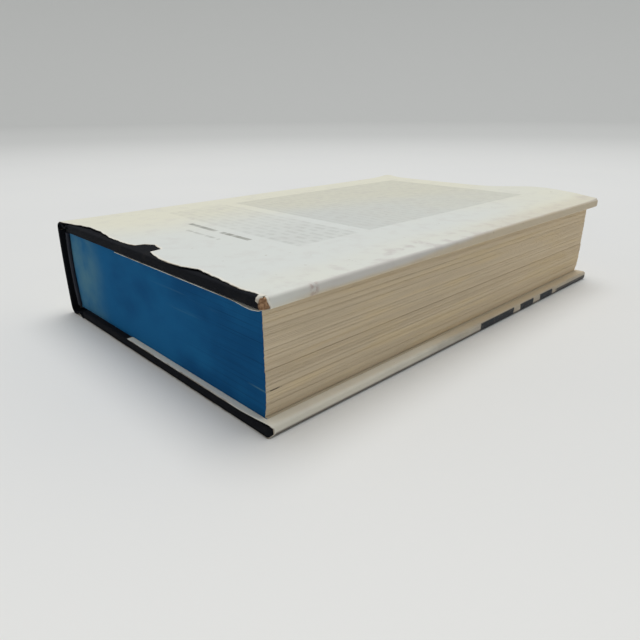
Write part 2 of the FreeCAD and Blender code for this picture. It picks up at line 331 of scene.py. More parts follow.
# %% A shape that is built node by node
class Shape(Tree):
    """A Geometry Nodes tree whose inputs are named sizes."""

    def __init__(self, name, sizes):
        super().__init__(bpy.data.node_groups.new(name, "GeometryNodeTree"))
        self.values = {}
        for label, kind, value in sizes:
            self.values[self.socket(label, "INPUT", kind).identifier] = value
        self.socket("Geometry", "OUTPUT", "Geometry")
        self.inputs = self.group.nodes.new("NodeGroupInput")

    def socket(self, label, side, kind):
        return self.group.interface.new_socket(label, in_out=side, socket_type="NodeSocket" + kind)

    def size(self, label):
        return Value(self, self.inputs.outputs[label])

    def join(self, x, y, z):
        return self.node("ShaderNodeCombineXYZ", {0: x, 1: y, 2: z})

    def random(self, number, low, high, seed):
        """A fixed random value from low to high for each whole number."""
        return self.node("FunctionNodeRandomValue", {2: low, 3: high, "ID": number, "Seed": seed},
                         output=1, data_type="FLOAT")

    def store(self, geometry, label, kind, value):
        return self.node("GeometryNodeStoreNamedAttribute",
                         {"Geometry": geometry, "Name": label, "Value": value},
                         data_type=kind, domain="POINT")

    def finished(self, name, geometry, material):
        """Ends the tree and returns its result as a plain mesh object."""
        real = self.node("GeometryNodeRealizeInstances", {0: geometry})
        coated = self.node("GeometryNodeSetMaterial", {"Geometry": real, "Material": material})
        self.feed(self.group.nodes.new("NodeGroupOutput").inputs[0], coated)
        seed = placed(name + "_seed", bpy.data.meshes.new(name + "_seed"))
        modifier = seed.modifiers.new("made", "NODES")
        modifier.node_group = self.group
        for identifier, value in self.values.items():
            modifier[identifier] = value
        evaluated = seed.evaluated_get(bpy.context.evaluated_depsgraph_get())
        mesh = bpy.data.meshes.new_from_object(evaluated)
        bpy.data.objects.remove(seed)
        return placed(name, mesh)


# %% The stack of leaves
SIGNATURES = 16
LEAVES_EACH = 16
LEAF_COLUMNS = 5            # across the book: four near the spine, the fifth at the fore-edge
LEAF_ROWS = 25
LAST_NEAR_SPINE = 0.75      # where the fourth column lies, as a share of the unbent leaf


def leaves():
    tree = Shape("stacked_leaves", [
        ("Leaves", "Int", SIGNATURES * LEAVES_EACH), ("Bottom", "Float", block_depth),
        ("Thickness", "Float", top_z - 2 * block_depth),
        ("Height", "Float", leaves_high.y - leaves_low.y),
        ("Spine", "Float", leaves_low.x), ("Fore edge", "Float", leaves_high.x),
        ("Ridge", "Float", RIDGE), ("Set back", "Float", SET_BACK)])
    pitch = tree.size("Thickness") / tree.size("Leaves")
    first = tree.size("Bottom") + pitch * 0.5
    line = tree.node("GeometryNodeMeshLine", {
        "Count": tree.size("Leaves"), "Start Location": tree.join(0.0, 0.0, first),
        "Offset": tree.join(0.0, 0.0, pitch)})
    numbered = tree.store(line, "leaf", "INT", tree.node("GeometryNodeInputIndex"))
    leaf = tree.node("GeometryNodeMeshCube", {
        "Size": tree.join(1.0, tree.size("Height"), pitch),
        "Vertices X": LEAF_COLUMNS, "Vertices Y": LEAF_ROWS, "Vertices Z": 2})
    stack = tree.node("GeometryNodeInstanceOnPoints", {"Points": numbered, "Instance": leaf})
    stack = tree.node("GeometryNodeRealizeInstances", {0: stack})
    number = tree.node("GeometryNodeInputNamedAttribute", {"Name": "leaf"}, data_type="INT")
    bent, groove = bend_leaves(tree, stack, number)
    bent = tree.store(bent, "groove", "FLOAT", groove)
    bent = tree.store(bent, "tone", "FLOAT", tree.random(number, 0.0, 1.0, 29))
    return tree.finished("leaves", bent, page_paper())


# %% How each leaf is bent
SHOULDER = 1.1 * MM
SHOULDER_LENGTH = 3.5 * MM
RIDGE = 0.34 * MM
SET_BACK = 1.1 * MM         # how far the lowest leaves stand back at the fore-edge


def rough_fore_edge(tree, number, along_book):
    """How far a leaf stands back at the fore-edge, in ridges, and the groove between signatures."""
    signature = (number / LEAVES_EACH).whole()
    off_centre = ((number + 0.5) / LEAVES_EACH).fraction() * 2.0 - 1.0
    groove = off_centre * off_centre * tree.random(signature, 0.25, 1.0, 41)
    wave_at = tree.join(along_book * 28.0, signature * 7.3, number * 0.35)
    wave = tree.node("ShaderNodeTexNoise", {"Vector": wave_at, "Scale": 1.0, "Detail": 2.0})
    back = wave * 0.7 + groove * 0.7 + tree.random(signature, 0.0, 0.7, 3)
    return back + tree.random(number, 0.0, 0.4, 11), groove


def bend_leaves(tree, stack, number):
    x, y, z = tree.node("GeometryNodeInputPosition").parts()
    along = x + 0.5
    half = tree.size("Thickness") * 0.5
    level = (z - (tree.size("Bottom") + half)) / half
    squared = level * level
    rounded = tree.size("Spine") + squared * (hinge_x - leaves_low.x)
    near = rounded + along * (SHOULDER_LENGTH / LAST_NEAR_SPINE)
    at_fore_edge = along.maths("GREATER_THAN", along, (LAST_NEAR_SPINE + 1) / 2)
    across = near + at_fore_edge * (tree.size("Fore edge") - near)
    back, groove = rough_fore_edge(tree, number, y)
    lowest = (level * -2.0 - 1.0).most(0.0)
    back = back * tree.size("Ridge") + lowest * lowest * tree.size("Set back")
    near_spine = (1.0 - along / LAST_NEAR_SPINE).most(0.0)
    flare = squared * level * SHOULDER * (near_spine * near_spine)
    moved = tree.join(across - back * at_fore_edge, y, z + flare)
    return tree.node("GeometryNodeSetPosition", {"Geometry": stack, "Position": moved}), groove


leaf_stack = leaves()
print("leaves:", len(leaf_stack.data.polygons), "faces")

# %% [markdown]
# Paper and cloth are sheets: a grid of points, doubled to give it a thickness and closed round
# its rim. The grid runs along a path across the book in one direction and along the book in the
# other. Rows stand closer together near the head and the tail, where the edges are worn.

# %% Sheets with a thickness
SHARP_ANGLE = math.radians(50)


def shell(name, centres, thickness, material):
    """Closed sheet round a grid of points, as an array of columns, rows and three coordinates."""
    centres = np.array(centres)
    columns, rows = centres.shape[:2]
    normal = np.cross(np.gradient(centres, axis=1), np.gradient(centres, axis=0))
    normal *= thickness / 2 / np.linalg.norm(normal, axis=2)[:, :, None]
    points = np.concatenate([centres + normal, centres - normal]).reshape(-1, 3)
    numbers = np.arange(2 * columns * rows).reshape(2, columns, rows)
    quads = []
    for layer, order in ((0, (0, 1, 2, 3)), (1, (3, 2, 1, 0))):
        grid = numbers[layer]
        corners = (grid[:-1, :-1], grid[:-1, 1:], grid[1:, 1:], grid[1:, :-1])
        quads.append(np.stack([corners[i] for i in order], axis=-1).reshape(-1, 4))
    rim = np.concatenate([numbers[:, :-1, 0], numbers[:, -1, :-1], numbers[:, :0:-1, -1],
                          numbers[:, 0, :0:-1]], axis=1)
    after = np.roll(rim, -1, axis=1)
    quads.append(np.stack([rim[0], after[0], after[1], rim[1]], axis=-1))
    mesh = bpy.data.meshes.new(name)
    mesh.from_pydata(points.tolist(), [], np.concatenate(quads).tolist())
    mesh.materials.append(material)
    mesh.shade_smooth()
    mesh.set_sharp_from_angle(angle=SHARP_ANGLE)
    mesh.attributes.new("place", "FLOAT_VECTOR", "POINT").data.foreach_set("vector", points.ravel())
    return placed(name, mesh)


def rows_between(start, end, count):
    """Places from start to end, closer together near both ends."""
    share = (1 - np.cos(np.linspace(0, math.pi, count))) / 2
    return start + (end - start) * share


def strip(name, path, y_start, y_end, rows, thickness, material):
    """Plain sheet along a path of (x, z) points."""
    grid = [[(x, y, z) for y in rows_between(y_start, y_end, rows)] for x, z in path]
    return shell(name, grid, thickness, material)


def joined(name, parts):
    """One object from several."""
    with bpy.context.temp_override(active_object=parts[0], selected_editable_objects=parts):
        bpy.ops.object.join()
    parts[0].name = name
    return parts[0]


# %% [markdown]
# Every sheet of the case follows the same way round: over a cover, through or over the joint,
# round a corner of the spine and up its gentle arc to the crown. The arcs come from three sizes
# of the spine, and a depth says how far inside the outer face of the jacket a sheet lies.

# %% Paths across the book
PAPER = 0.2 * MM
CLOTH = 0.4 * MM
SPINE_RADIUS = 300 * MM
SPINE_CORNER = 4.0 * MM
SPINE_LEAN = 6.0 * MM
GROOVE = 1.8 * MM
FOLD_RADIUS = 1.15 * MM
FLAP_WIDTH = 98 * MM
FLAP_STEP = 2.5 * MM
PANEL_STEP = 0.95 * MM
crown_low = top_z / 2 - SPINE_LEAN
crown_high = top_z / 2 + SPINE_LEAN


def turn(centre, radius, start, end, steps):
    """Points on an arc, as (x, depth) pairs; angles in degrees."""
    angles = np.radians(np.linspace(start, end, steps + 1))
    return [(centre[0] + radius * math.cos(a), centre[1] + radius * math.sin(a)) for a in angles]


def straight(start, end, step):
    """Points from start up to, but not on, end."""
    count = max(1, round(math.dist(start, end) / step))
    return [tuple(np.array(start) + (np.array(end) - start) * i / count) for i in range(count)]


def corner_x(crown_depth):
    """Place of the centre of the spine's corner arc."""
    reach = SPINE_RADIUS - SPINE_CORNER
    return crown_x + SPINE_RADIUS - math.sqrt(reach ** 2 - (crown_depth - SPINE_CORNER) ** 2)


def spine_path(depth, crown_depth):
    """Round the spine's corner and up to its crown."""
    corner = (corner_x(crown_depth), SPINE_CORNER)
    middle = (crown_x + SPINE_RADIUS, crown_depth)
    tilt = math.degrees(math.atan2(crown_depth - SPINE_CORNER, middle[0] - corner[0]))
    path = turn(corner, SPINE_CORNER - depth, -90, -180 + tilt, 8)
    return path + turn(middle, SPINE_RADIUS - depth, -180 + tilt, -180, 10)[1:]


def jacket_path(crown_depth):
    """Middle of the paper from the end of the flap to the crown."""
    middle = PAPER / 2
    bend = FOLD_RADIUS - middle
    x_bend = fore_x - FOLD_RADIUS
    flap_depth = cover_depth - middle
    path = straight((fore_x - FLAP_WIDTH, flap_depth), (x_bend, flap_depth), FLAP_STEP)
    path += turn((x_bend, cover_depth - FOLD_RADIUS), bend, 90, 0, 6)
    path += turn((x_bend, FOLD_RADIUS), bend, 0, -90, 6)
    spine = spine_path(middle, crown_depth)
    return path + straight((x_bend, middle), spine[0], PANEL_STEP)[1:] + spine


def joint_path(crown_depth):
    """Middle of the cloth from the board through the pressed joint to the crown."""
    start = corner_x(crown_depth)
    width = case_start_x - start
    bend = 2 * math.atan(2 * GROOVE / width)
    radius = width / (4 * math.sin(bend))
    degrees = math.degrees(bend)
    rim = radius - CLOTH / 2
    path = turn((case_start_x, PAPER + radius), rim, -90, -90 - degrees, 5)
    path += turn((start + width / 2, PAPER + GROOVE - radius), radius + CLOTH / 2,
                 90 - degrees, 90 + degrees, 8)[1:]
    path += turn((start, PAPER + radius), rim, -90 + degrees, -90, 5)[1:]
    return path + spine_path(PAPER + CLOTH / 2, crown_depth)[1:]


def as_back(path):
    return [(x, top_z - depth) for x, depth in path]


print("jacket path:", len(jacket_path(crown_high)), "points")

# %% [markdown]
# The back panel is torn along the head: the paper is gone for a few millimetres, with one deeper
# notch, and beside the near corner the fold has worn through. The tear is a short list of places
# read off the book, and noise frays it between them. At the tail the same panel curls up, and
# its head edge stands a little off the board.

# %% Where the back half of the jacket is torn
# Distance from the crown of the spine and depth of the tear, in mm.
BACK_TEAR = [(0.0, 0.0), (6.0, 0.1), (12.0, 1.0), (22.0, 2.5), (32.0, 4.0), (44.0, 3.5),
             (56.0, 2.2), (72.0, 2.4), (75.6, 4.0), (76.2, 7.2), (80.0, 9.6), (89.4, 7.8),
             (90.0, 2.6), (99.0, 0.8), (108.0, 0.0), (117.0, 0.0), (124.0, 2.3), (137.0, 1.8),
             (149.0, 0.5), (155.0, 1.6), (162.0, 1.8)]
FOLD_TEAR = 2.6 * MM
FRAY = 0.5 * MM


def frayed(x, z, inset):
    """An inset with the small uneven steps of a torn edge."""
    fine = noise.noise(Vector((x * 900, z * 900, 3.1)))
    coarse = noise.noise(Vector((x * 260, z * 260, 7.7)))
    return max(0.0, inset + FRAY * (0.5 * fine + coarse) * min(1.0, inset / (1.5 * MM)))


def back_head_edge(x, z):
    """Head edge of the back half at a point of its path."""
    from_crown = (x - crown_x) / MM
    panel = float(np.interp(from_crown, *zip(*BACK_TEAR))) * MM
    depth = top_z - z
    inset = panel
    if x > fore_x - FOLD_RADIUS * 1.05:
        down = (depth - FOLD_RADIUS) / (cover_depth - 2 * FOLD_RADIUS)
        inset = panel + (FOLD_TEAR - panel) * clamped(down)
    elif depth > cover_depth - FOLD_RADIUS and x > board_x:
        inset = FOLD_TEAR * max(0.0, 1 - (fore_x - FOLD_RADIUS - x) / (7 * MM)) ** 2
    return head_y + frayed(x, z, inset)


# %% Where the back half is lifted
TAIL_CURLS = [(46.0, 26.0, 2.9), (-72.0, 6.0, 0.9)]  # middle, width and height of each, in mm
HEAD_WAVES = [(-46.0, 16.0, 1.1), (8.0, 5.0, 0.8), (42.0, 11.0, 0.7)]
TAIL_REACH = 17 * MM
HEAD_REACH = 13 * MM
FLAP_REACH = (15 * MM, 2.6 * MM)  # from the fore-edge and from the head


def bulges(x, shapes):
    return sum(height * math.exp(-((x - middle * MM) / (width * MM)) ** 2)
               for middle, width, height in shapes)


def near(value, edge, reach):
    """1 at an edge, falling to 0 at a reach from it."""
    return max(0.0, 1 - abs(value - edge) / reach)


def back_lift(x, y, depth):
    """How far the back panel stands off the board, in metres."""
    if depth > PAPER:
        return flap_curl(x, y, depth, 1.5 * MM)
    off_fold = clamped((fore_x - FOLD_RADIUS - x) / (12 * MM))
    curl = (bulges(x, TAIL_CURLS) + 0.5 * off_fold) * near(y, tail_y, TAIL_REACH) ** 2
    stand = bulges(x, HEAD_WAVES) * near(y, head_y, HEAD_REACH) ** 2
    ripple = noise.noise(Vector((x * 22, y * 16, 0.4))) + 0.5
    return (curl + stand + 0.22 * max(0.0, ripple) * off_fold) * MM


def flap_curl(x, y, depth, height):
    """The paper has come away from the board at the near corner, on the side of the leaves."""
    on_flap = clamped((depth - cover_depth + FOLD_RADIUS) / (FOLD_RADIUS - PAPER))
    return -height * on_flap * near(x, fore_x, FLAP_REACH[0]) * near(y, head_y, FLAP_REACH[1])


def jacket_half(name, path, rows, head_edge, lift, upright, material):
    """Sheet of one half of the jacket; upright is 1 where its panel faces up, else -1."""
    grid = []
    for x, z in path:
        depth = top_z - z if upright > 0 else z
        grid.append([(x, y, z + upright * lift(x, y, depth))
                     for y in rows_between(head_edge(x, z), tail_y, rows)])
    made = shell(name, grid, PAPER, material)
    from_tear = [y - column[0][1] for column in grid for _, y, _ in column]
    made.data.attributes.new("from_tear", "FLOAT", "POINT").data.foreach_set("value", from_tear * 2)
    return made


# %% [markdown]
# Coated jacket paper is smooth with a faint sheen, toned unevenly towards cream and rubbed grey
# where it was handled. Print is reduced to plain marks: rows of pale grey dashes stand for the
# text of the back panel, and dark fields stand for the art of the front. Along a tear the pale
# core of the paper shows, with a little grime.

# %% Marks that stand for the print
TEXT_LEFT = -58.0
TEXT_RIGHT = 42.0
TEXT_START = -73.0
NOTE_END = -38.0
STORY_START = -31.0
TEXT_END = 106.0
ROW_PITCH = 4.6
# A single row: where it starts and its height along the book, its ends across the book, and
# the length of its words, the share of that which the shortest fills, and the letters' width.
TITLE = (-80.8, 3.2, (-26.0, 20.0), (27.0, 0.9, 1.9))
BYLINE = (-88.4, 2.2, (-15.0, 10.0), (9.0, 0.85, 1.4))
FOLD_FIELDS = [(4.0, 35.5), (41.0, 54.5), (63.0, 77.0)]  # along the front fold


def words(finish, x, y, pitch, height, length, shortest=0.5, letter=1.1):
    """Rows of words: 1 on a word, 0 between words."""
    row = (y / pitch).whole()
    bar = (y / pitch).fraction().inside(0.5 - height / 2, 0.5 + height / 2, 0.07)
    along = x / length + finish.scatter(row) * 7.0
    ends = shortest + (0.92 - shortest) * finish.scatter(along.whole() + row * 17.0)
    word = along.fraction().rises(0.03, 0.08) * (along.fraction() - ends).rises(0.03, -0.03)
    letters = 0.45 + 0.55 * finish.scatter((x / letter).whole() + row * 31.0)
    return bar * word * letters


def single_row(finish, x, y, start, height, ends, look):
    """One row of words between two places across the book."""
    marks = words(finish, x, y - start, height, 0.8, *look)
    return marks * x.inside(*ends, 0.4) * y.inside(start, start + height, 0.3)


def back_print(finish, x, y, z):
    """Grey marks that stand for the text of the back panel."""
    panel = z.rises(top_z / MM - 1.5, top_z / MM - 0.6)
    rows = words(finish, x, y, ROW_PITCH, 0.5, 9.0)
    note = (rows * 0.16 + 0.09) * (0.75 + x.rises(-10.0, 25.0) * 0.6)
    note = note * y.inside(TEXT_START, NOTE_END, 0.8)
    story = (rows * 0.10 + 0.22) * y.inside(STORY_START, TEXT_END, 0.8)
    text = (note + story) * x.inside(TEXT_LEFT, TEXT_RIGHT, 0.8)
    title = single_row(finish, x, y, *TITLE) * 1.1
    byline = single_row(finish, x, y, *BYLINE) * 0.55
    return panel * text.most(title).most(byline)


def front_print(finish, x, y, z):
    """Dark fields that wrap from the front panel onto its fold."""
    on_fold = z.rises(cover_depth / MM - 0.2, cover_depth / MM - 0.7)
    on_fold = on_fold * x.rises(fore_x / MM - 3.0, fore_x / MM - 1.5)
    edge = y + (finish.clouds(14.0, 3.0) - 0.5) * 8.0
    fields = sum(edge.inside(*ends, 0.5) for ends in FOLD_FIELDS)
    band = edge.rises(80.0, 84.0) * z.rises(3.1, 2.3) * 0.85
    panel = z.rises(0.12, 0.02) * x.rises(-51.0, -49.0)
    panel = panel * (fields + band + x.rises(72.0, 68.0)).least(1.0)
    return (on_fold * (fields + band) + panel * edge.inside(-88.0, 200.0, 1.5)).least(1.0)


# %% Finish of the jacket
PAPER_COOL = (0.715, 0.745, 0.715)
PAPER_WARM = (0.775, 0.765, 0.635)
PAPER_CORE = (0.80, 0.78, 0.70)
FOLD_GREY = (0.60, 0.575, 0.545)
FOLD_TAN = (0.58, 0.475, 0.325)
FOLD_CREAM = (0.79, 0.745, 0.64)
FOLD_SOILED = (0.34, 0.325, 0.285)
RIM_TAN = (0.66, 0.60, 0.475)
PRINT_GREY = (0.34, 0.345, 0.31)
PRINT_DARK = (0.022, 0.027, 0.034)
GRIME = (0.27, 0.20, 0.13)
# Painted shadow where the front fold meets the floor.
SOLE_PAINTED_SHADOW = (0.065, 0.048, 0.037)
SMUDGE = (0.34, 0.20, 0.165)
SMUDGES = [(-118.6, -117.6, 0.5), (-101.6, -98.4, 1.0)]  # places along the back panel's fold


def panel_paper(finish, x, y, warmth):
    """Paper toned by age and rubbed by hands, and how much each place is rubbed."""
    tone = finish.clouds(70.0, 4.0) * 0.7 + y.rises(-90.0, 120.0) * 0.4 + x.rises(20.0, -60.0) * 0.7
    tone = tone + x.rises(56.0, 72.0) * 0.2 + warmth * x.rises(-70.0, -40.0)
    paper = finish.mixed(tone.rises(0.35, 1.10), PAPER_COOL, PAPER_WARM)
    at_rim = x.rises(65.0, 75.0)
    handled = 0.25 + at_rim * (0.4 + y.inside(-55.0, 5.0, 20.0))
    rub = finish.clouds(7.0, 6.0).rises(0.46, 0.74) * handled
    paper = finish.mixed(rub.least(0.8), paper, FOLD_GREY)
    return finish.mixed(at_rim * y.rises(-40.0, 40.0) * 0.45, paper, RIM_TAN), rub


def folded_paper(finish, paper, x, y, z, is_front, fold):
    """The paper with the handled fold over the fore-edge of its board."""
    at_fold = x.rises(fore_x / MM - 1.5, fore_x / MM - 0.2)
    inward = z if is_front else top_z / MM - z
    drift = finish.clouds(12.0, 3.0, (1.0, 1.0, 2.0)) - 0.5
    toned = inward * (0.3 if is_front else 1.0) + drift * 1.8 + y.rises(-75.0, 25.0) * 3.0
    ledge = inward.rises(cover_depth / MM - 0.6, cover_depth / MM - 0.3) * x.rises(70.0, 75.0)
    unhandled = 0.6 if is_front else 0.25
    handled = unhandled + (0.8 - unhandled) * y.rises(-119.0, -90.0)
    fold = finish.mixed(toned.rises(2.0, 4.2), fold, FOLD_TAN)
    paper = finish.mixed(at_fold.most(ledge) * handled, paper, fold)
    if is_front:
        soiled = at_fold * y.rises(-80.0, -15.0) * finish.clouds(18.0, 3.0).rises(0.1, 0.6)
        paper = finish.mixed(soiled * 0.5, paper, FOLD_SOILED)
        # Painted shadow: the bottom of the front fold darkens towards the floor.
        return finish.mixed(at_fold * z.rises(1.8, 0.75) * 0.88, paper, SOLE_PAINTED_SHADOW)
    spots = sum(y.inside(*place) for place in SMUDGES) * finish.clouds(1.8, 3.0).rises(0.38, 0.60)
    return finish.mixed(spots * at_fold * 0.5, paper, SMUDGE)


def torn_edge(finish, coat):
    """The pale core of the paper along a tear, a little dirty, and how much of it shows."""
    from_tear = finish.stored("from_tear") / MM
    ragged = finish.clouds(1.5, 4.0)
    core = (from_tear - ragged * 1.5).rises(0.4, -0.35)
    coat = finish.mixed(core, coat, PAPER_CORE)
    dirt = (from_tear - ragged).rises(0.15, -0.55) * finish.clouds(9.0, 2.0).rises(0.42, 0.62)
    return finish.mixed(dirt * 0.7, coat, GRIME), core


def jacket_paper(name, print_of, ink, fold, warmth):
    finish = Finish(name, roughness=0.5, specular=0.25, bends=True)
    x, y, z = finish.axes()
    paper, rub = panel_paper(finish, x, y, warmth)
    paper = folded_paper(finish, paper, x, y, z, print_of is front_print, fold)
    chips = finish.clouds(1.6, 3.0).rises(0.58, 0.66)
    coat = finish.mixed(print_of(finish, x, y, z) * (1 - 0.1 * chips), paper, ink)
    coat = finish.mixed(finish.clouds(2.4, 1.0).rises(0.755, 0.80) * 0.25, coat, GRIME)
    coat, core = torn_edge(finish, coat)
    finish.set("Roughness", 0.5 + 0.3 * core + 0.12 * rub)
    creases = finish.clouds(22.0, 4.0, (1.0, 0.7, 1.0)) + 0.06 * finish.clouds(0.5, 2.0)
    return finish.done(coat, creases, 0.9, 0.35)


# %% The back half of the jacket
BACK_ROWS = 84
back_paper = jacket_paper("jacket_paper_back", back_print, PRINT_GREY, FOLD_GREY, 0.0)
back_panel = jacket_half("jacket_back_half", as_back(jacket_path(crown_high)), BACK_ROWS,
                         back_head_edge, back_lift, 1, back_paper)
print("back half of the jacket:", len(back_panel.data.polygons), "faces")

# %% [markdown]
# At the near corner a scrap of the torn paper is still there, crumpled over the edge of the
# cloth. It is a small sheet bent down by a short curve and creased by noise, and it belongs to
# the same piece of paper, so it is joined to the back half.

# %% Crumpled scrap at the corner
SCRAP_START = Vector((fore_x - 2.9 * MM, head_y + 2.4 * MM, top_z))
SCRAP_WIDTH = 1.8 * MM
SCRAP_SEED = 7
SCRAP_PATH = [(0.0, 0.0), (1.2, 0.35), (2.3, 0.30), (3.0, -0.45), (3.1, -1.25), (2.75, -1.9)]


def scrap():
    lengths = np.linspace(0, len(SCRAP_PATH) - 1, 13)
    out, up = (np.interp(lengths, range(len(SCRAP_PATH)), side) for side in zip(*SCRAP_PATH))
    noise.seed_set(SCRAP_SEED)
    grid = []
    for share in np.linspace(0, 1, 10):
        taper = 1 - 0.5 * (2 * share - 1) ** 2
        column = []
        for i in range(len(lengths)):
            crease = noise.noise_vector(Vector((share * 3.3, i * 0.45, 5.0))) * (0.5 * MM * i / 12)
            place = Vector((share * SCRAP_WIDTH, -out[i] * taper * MM, up[i] * taper * MM))
            column.append(SCRAP_START + place + crease)
        grid.append(column[::-1])
    made = shell("scrap", grid, PAPER, back_paper)
    made.data.attributes.new("from_tear", "FLOAT", "POINT")
    return made


back_panel = joined("jacket_back_half", [back_panel, scrap()])

# %% The front half of the jacket
FRONT_ROWS = 72
FRONT_TEAR = [(0.0, 1.9), (1.5, 2.2), (3.2, 2.1), (6.0, 0.0)]  # mm from the fore-edge, and depth


def front_head_edge(x, z):
    """Head edge of the front half: whole but for the near corner of its fold."""
    inset = float(np.interp((fore_x - x) / MM, *zip(*FRONT_TEAR))) * MM
    inset *= clamped((z - 0.3 * MM) / (0.9 * MM)) * clamped((cover_depth - z) / (1.3 * MM))
    return head_y + frayed(x, z, inset)


def front_lift(x, y, depth):
    """Only the corner of the flap stands off the board."""
    return flap_curl(x, y, depth, 1.1 * MM)


front_paper = jacket_paper("jacket_paper_front", front_print, PRINT_DARK, FOLD_CREAM, 0.3)
front_panel = jacket_half("jacket_front_half", jacket_path(crown_low), FRONT_ROWS,
                          front_head_edge, front_lift, -1, front_paper)
print("front half of the jacket:", len(front_panel.data.polygons), "faces")

# %% [markdown]
# Book cloth is a tight plain weave filled with starch, here dyed black. The weave is far finer
# than anything else on the book, so it is bump from two crossed waves. The cloth runs over the
# boards and the spine in one piece, and is pressed into a groove at each joint. The parts over
# the joints bend when a cover opens, so they are sheets of their own.

# %% Finish of the case cloth
CLOTH_BLACK = (0.0065, 0.0078, 0.011)
CLOTH_RUBBED = (0.021, 0.020, 0.021)
BOARD_BROWN = (0.44, 0.27, 0.155)
BOARD_SOILED = (0.20, 0.11, 0.06)
THREAD_PITCH = 0.5


def case_cloth(name, bends):
    finish = Finish(name, roughness=0.85, specular=0.08, bends=bends)
    x, y, z = finish.axes()
    weave = (x + z).wave(THREAD_PITCH) * (y + z).wave(THREAD_PITCH)
    slubs = finish.clouds(0.8, 3.0)
    worn = finish.clouds(6.0, 4.0).rises(0.5, 0.8)
    cloth = finish.mixed(worn * 0.5 + slubs * 0.2, CLOTH_BLACK, CLOTH_RUBBED)
    corner = x.rises(fore_x / MM - 2.7, fore_x / MM - 0.9) * (y - case_low.y / MM).rises(6.5, 1.5)
    corner = corner * z.rises(top_z / MM - 5.0, top_z / MM - 3.2)
    rubbed = (corner + (finish.clouds(1.6, 4.0) - 0.5) * 0.9).rises(0.35, 0.6) * corner
    fibre = finish.mixed(finish.clouds(0.7, 3.0).rises(0.35, 0.65), BOARD_BROWN, BOARD_SOILED)
    return finish.done(finish.mixed(rubbed, cloth, fibre), weave * 0.5 + slubs, 0.06, 0.6)


# %% Cloth over the spine and the joints
INLAY = 0.8 * MM
INLAY_MARGIN = 4.0 * MM
SPINE_TURN_IN = 15 * MM
TURN_IN_POINTS = 24
JOINT_ROWS = 30


def between_heights(path, low, high, count):
    """Part of a rising path, as a given number of points from one height to another."""
    across, heights = zip(*path)
    wanted = np.linspace(low, high, count)
    return list(zip(np.interp(wanted, heights, across), wanted))


def spine_turn_ins(material):
    """Cloth folded over both ends of the spine card, as wide as the card."""
    over_depth = PAPER + CLOTH
    under_depth = over_depth + INLAY
    parts = []
    for end in (case_low.y, case_high.y):
        inward = math.copysign(1.0, -end)
        for depth, start, length, thickness in (
                (over_depth + (INLAY + CLOTH) / 2, 0.0, CLOTH, INLAY + CLOTH),
                (under_depth + CLOTH / 2, CLOTH, SPINE_TURN_IN - CLOTH, CLOTH)):
            path = spine_path(depth, crown_low)[:-1] + as_back(spine_path(depth, crown_high))[::-1]
            path = between_heights(path, INLAY_MARGIN, top_z - INLAY_MARGIN, TURN_IN_POINTS)
            ends = sorted((end + inward * start, end + inward * (start + length)))
            parts.append(strip("turn_in", path, *ends, 4, thickness, material))
    return joined("spine_turn_ins", parts)


cloth = case_cloth("case_cloth", bends=False)
joint_cloth = case_cloth("case_cloth_bent", bends=True)
joint_back, joint_front = (
    strip(name, path, case_low.y, case_high.y, JOINT_ROWS, CLOTH, joint_cloth) for name, path in (
        ("joint_cloth_back", as_back(joint_path(crown_high))),
        ("joint_cloth_front", joint_path(crown_low))))
turn_ins = spine_turn_ins(joint_cloth)
print("cloth of the joints and the spine:", len(turn_ins.data.polygons), "faces in the turn-ins")

# %% [markdown]
# An endpaper is one folded sheet: half of it is pasted to the board, the other half is the
# flyleaf, and the fold lies in the hinge. A narrow strip carries the paper from the board into
# the fold and back out along the flyleaf.

# %% Endpapers through the hinges
ENDPAPER = 0.15 * MM
STRIP_STEP = 0.8 * MM
STRIP_ROWS = 24
ENDPAPER_WHITE = (0.66, 0.61, 0.50)
ENDPAPER_TONED = (0.56, 0.49, 0.37)
# Glue toning with painted shade, for the paper deep in the hinge.
ENDPAPER_GLUE_AND_SHADE = (0.10, 0.085, 0.07)


def endpaper(name, bends):
    finish = Finish(name, roughness=0.8, specular=0.15, bends=bends)
    x, y, z = finish.axes()
    edges = y.rises(95.0, 118.0).most(y.rises(-95.0, -118.0)).most(x.rises(52.0, 77.0))
    toned = edges * 0.6 + finish.clouds(30.0, 4.0) * 0.5 + finish.clouds(1.2, 3.0) * 0.15
    paper = finish.mixed(toned.rises(0.2, 1.1), ENDPAPER_WHITE, ENDPAPER_TONED)
    spots = finish.clouds(3.0, 2.0).rises(0.70, 0.76) * 0.35
    paper = finish.mixed(spots, paper, (0.40, 0.28, 0.15))
    # Deep in the hinge near the head the paper darkens: partly glue toning, partly painted shade.
    in_hinge = x.rises(-64.0, -70.0) * y.rises(-114.5, -117.3)
    paper = finish.mixed(in_hinge * 0.8, paper, ENDPAPER_GLUE_AND_SHADE)
    lines = finish.clouds(1.0, 2.0, (0.02, 0.02, 5.0))
    grain = finish.clouds(0.4, 3.0) + finish.clouds(12.0, 2.0)
    return finish.done(stained_head(finish, paper, lines, lines * 0.0), grain, 0.05, 0.5)


def hinge_strip_path():
    """From the pastedown into the hinge and back out to the flyleaf, as (x, depth) pairs."""
    paste_depth = cover_depth - PAPER - ENDPAPER / 2
    leaf_depth = cover_depth + ENDPAPER / 2
    fold = (leaf_depth - paste_depth) / 2
    centre = (hinge_x + fold, (paste_depth + leaf_depth) / 2)
    path = straight((pastedown_low.x, paste_depth), (centre[0], paste_depth), STRIP_STEP)
    path += turn(centre, fold, -90, -270, 8)
    end = (flyleaf_low.x, leaf_depth)
    return path + straight((centre[0], leaf_depth), end, STRIP_STEP)[1:] + [end]


